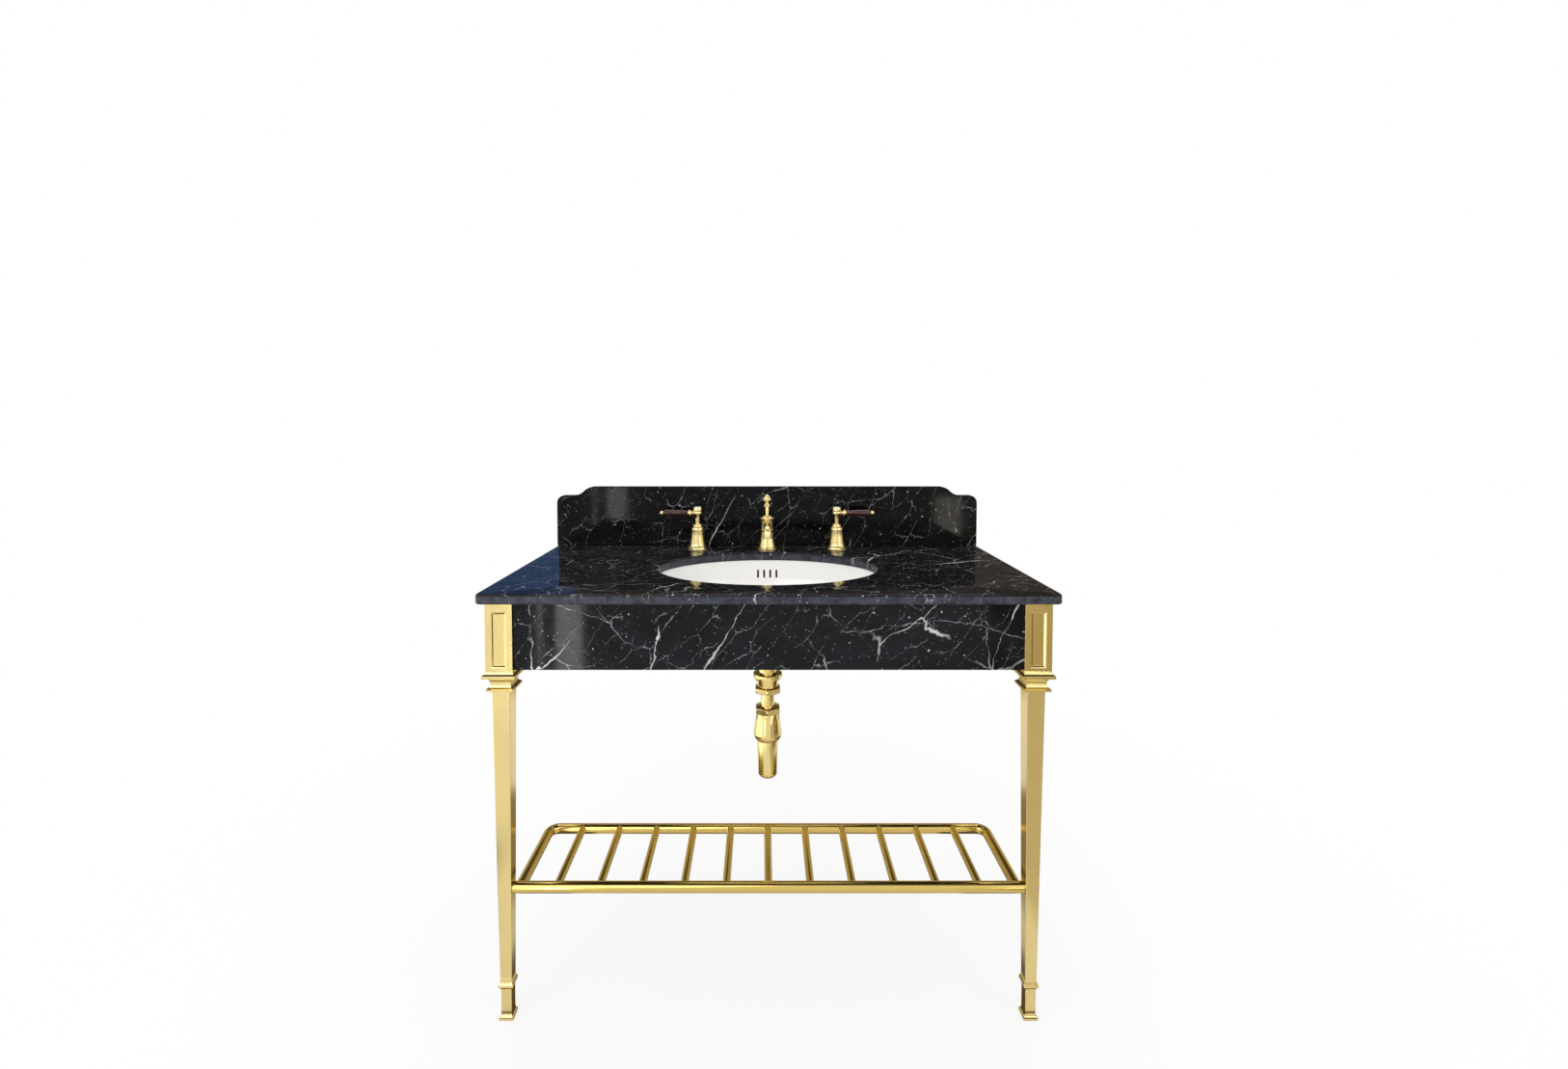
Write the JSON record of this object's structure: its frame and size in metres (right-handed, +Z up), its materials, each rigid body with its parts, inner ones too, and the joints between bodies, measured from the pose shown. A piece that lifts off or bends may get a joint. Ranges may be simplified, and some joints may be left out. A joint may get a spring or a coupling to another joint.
{
  "type": "console washstand",
  "caption": "Console washstand: stone top and upstand on square brass legs, undermount oval basin, lever taps, pop-up waste, bottle trap and tube rack.",
  "frame": {"origin": "on the floor, under the middle of the top's outline", "axes": "+X to the right seen from the front, +Y to the wall behind, +Z up"},
  "size_m": [1.15, 0.56, 1.042],
  "materials": {
    "black_marble": "polished black marble with thin white veins",
    "polished_brass": "polished unlacquered brass",
    "white_ceramic": "gloss white glaze",
    "porcelain_button": "gloss white porcelain",
    "dark_wood": "dark red-brown lacquered hardwood",
    "zinc_plated_steel": "zinc-plated",
    "black_rubber": "matt",
    "glide_plastic": "moulded nylon"
  },
  "bodies": {
    "console": {"aerator": "polished_brass", "basin_bowl": "white_ceramic", "basin_clips": "zinc_plated_steel", "basin_seal": "black_rubber", "bracket_bolts": "zinc_plated_steel", "cold_base": "polished_brass", "cold_valve": "polished_brass", "coupling_nut": "polished_brass", "floor_glides": "glide_plastic", "frame_rails": "zinc_plated_steel", "front_apron": "black_marble", "hot_base": "polished_brass", "hot_valve": "polished_brass", "inlet_pipe": "polished_brass", "leg_brackets": "zinc_plated_steel", "leg_foot_left": "polished_brass", "leg_foot_right": "polished_brass", "leg_head_left": "polished_brass", "leg_head_right": "polished_brass", "leg_shaft_left": "polished_brass", "leg_shaft_right": "polished_brass", "mixing_pipes": "polished_brass", "outlet_nut": "polished_brass", "outlet_pipe": "polished_brass", "pivot_nut": "polished_brass", "rack_back_rail": "polished_brass", "rack_bars": "polished_brass", "rack_front_rail": "polished_brass", "rack_side_left": "polished_brass", "rack_side_right": "polished_brass", "side_apron_left": "black_marble", "side_apron_right": "black_marble", "splashback": "black_marble", "spout_arm": "polished_brass", "spout_column": "polished_brass", "tap_nuts": "polished_brass", "trap_body": "polished_brass", "trap_cup": "polished_brass", "trap_nut": "polished_brass", "wall_flange": "polished_brass", "wall_rail": "zinc_plated_steel", "waste_body": "polished_brass", "waste_coupling": "polished_brass", "waste_gasket": "black_rubber", "waste_nut": "polished_brass", "worktop": "black_marble"},
    "hot_lever": {"hot_hub": "polished_brass", "hot_grip": "dark_wood", "hot_ball": "polished_brass", "hot_cap": "porcelain_button"},
    "cold_lever": {"cold_hub": "polished_brass", "cold_grip": "dark_wood", "cold_ball": "polished_brass", "cold_cap": "porcelain_button"},
    "lift": {"lift_rod": "polished_brass", "lift_knob": "polished_brass", "lift_strap": "polished_brass"},
    "pivot": {"pivot_rod": "polished_brass"},
    "stopper": {"plug": "polished_brass", "plug_seal": "black_rubber"}
  },
  "joints": [
    {"name": "hot_turn", "type": "hinge", "parent": "console", "child": "hot_lever", "pos_m": [-0.186, 0.219, 0.9755], "axis": [0, 0, 1], "range_deg": [0, 90]},
    {"name": "cold_turn", "type": "hinge", "parent": "console", "child": "cold_lever", "pos_m": [0.186, 0.219, 0.9755], "axis": [0, 0, -1], "range_deg": [0, 90]},
    {"name": "lift_slide", "type": "slide", "parent": "console", "child": "lift", "axis": [0, 0, 1], "range_m": [-0.022, 0]},
    {"name": "pivot_tilt", "type": "hinge", "parent": "console", "child": "pivot", "pos_m": [0, 0.008, 0.652], "axis": [1, 0, 0], "range_deg": [-14.1, 0]},
    {"name": "stopper_lift", "type": "slide", "parent": "console", "child": "stopper", "axis": [0, 0, 1], "range_m": [0, 0.0062]}
  ],
  "couplings": [
    {"joint": "pivot_tilt", "follows": "lift_slide", "rad_per_m": 11.111},
    {"joint": "stopper_lift", "follows": "lift_slide", "ratio": -0.27778}
  ]
}
